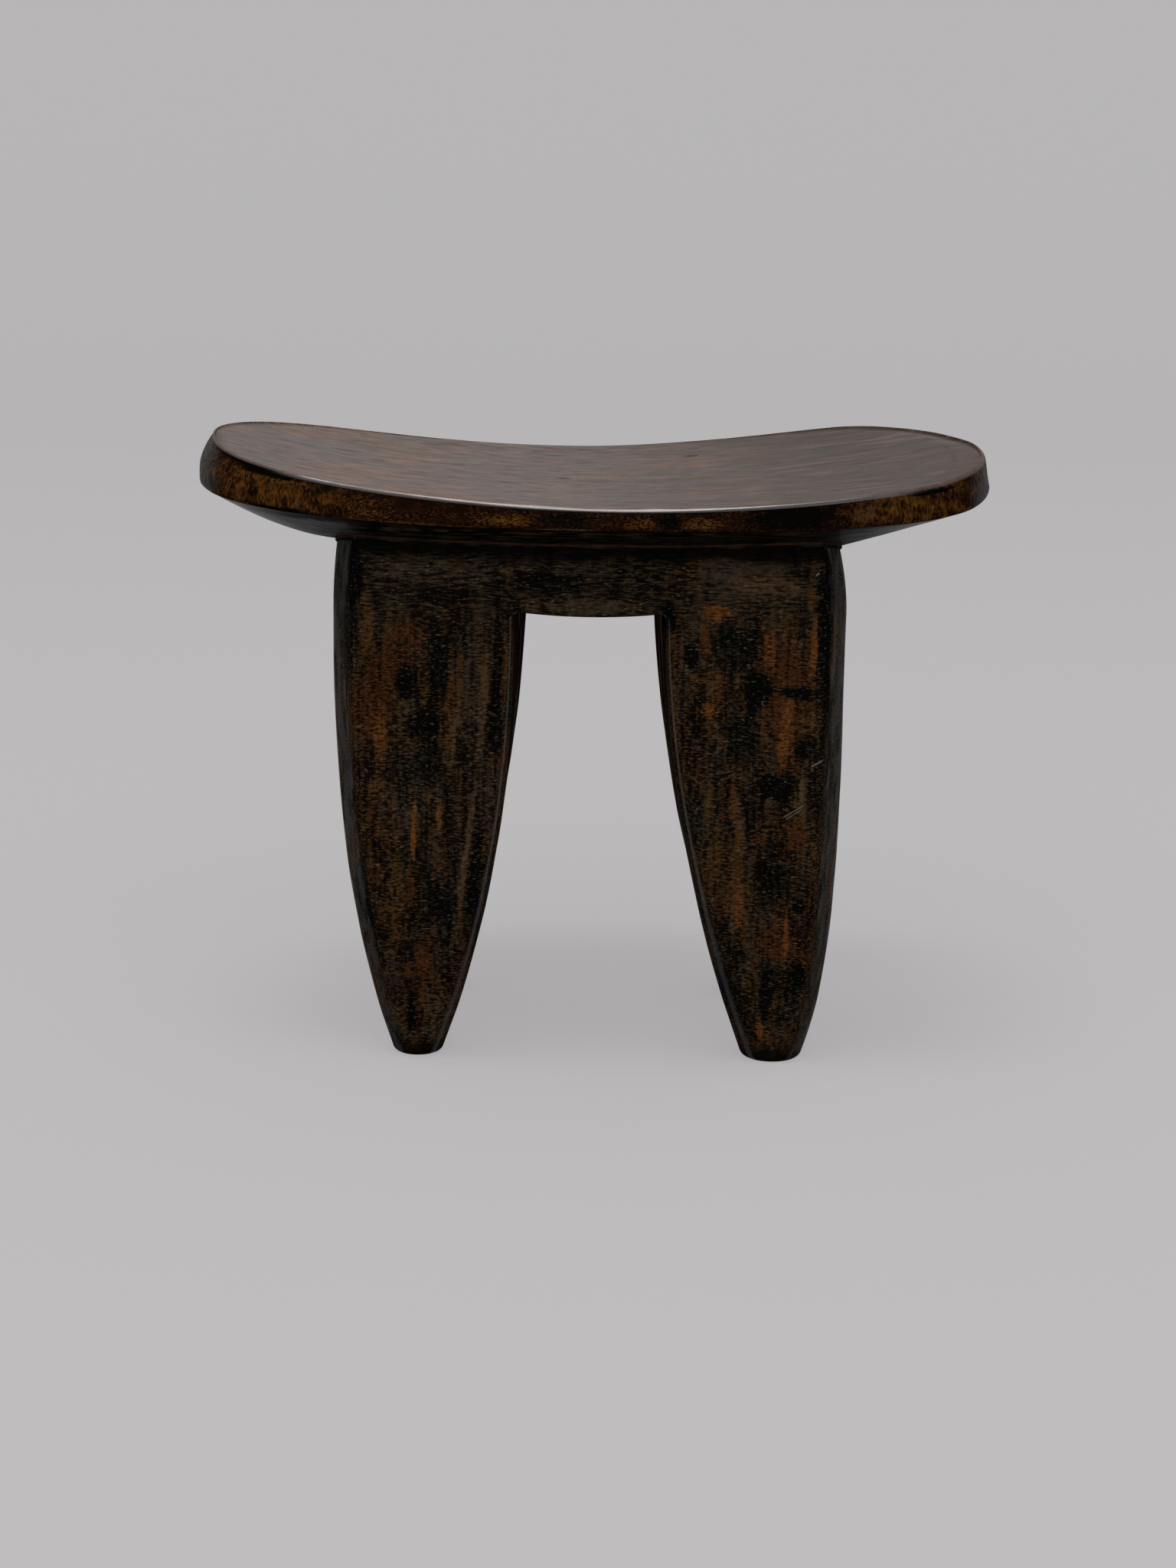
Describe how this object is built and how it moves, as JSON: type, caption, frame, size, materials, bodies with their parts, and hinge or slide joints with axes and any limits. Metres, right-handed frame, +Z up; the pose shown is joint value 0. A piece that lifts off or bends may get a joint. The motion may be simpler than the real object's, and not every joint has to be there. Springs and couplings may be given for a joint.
{
  "type": "stool",
  "caption": "Low carved wooden stool: a saddle seat with a leaning rim over a plain apron block on tapering, round-toed legs, for sitting on.",
  "frame": {"origin": "on the floor under the middle of the seat, on the plane that the feet rest on", "axes": "+X along the seat's length, to the right as seen from the front; +Y from front to back; +Z up"},
  "size_m": [0.473, 0.2908, 0.3705],
  "materials": {
    "seat_wood": "dark stain, waxed satin",
    "apron_wood": "near-black stain, waxed satin",
    "leg_wood": "near-black stain worn to orange-brown, waxed satin"
  },
  "bodies": {
    "root": {"seat": "seat_wood", "apron": "apron_wood", "leg_front_left": "leg_wood", "leg_front_right": "leg_wood", "leg_rear_left": "leg_wood", "leg_rear_right": "leg_wood"}
  },
  "joints": []
}
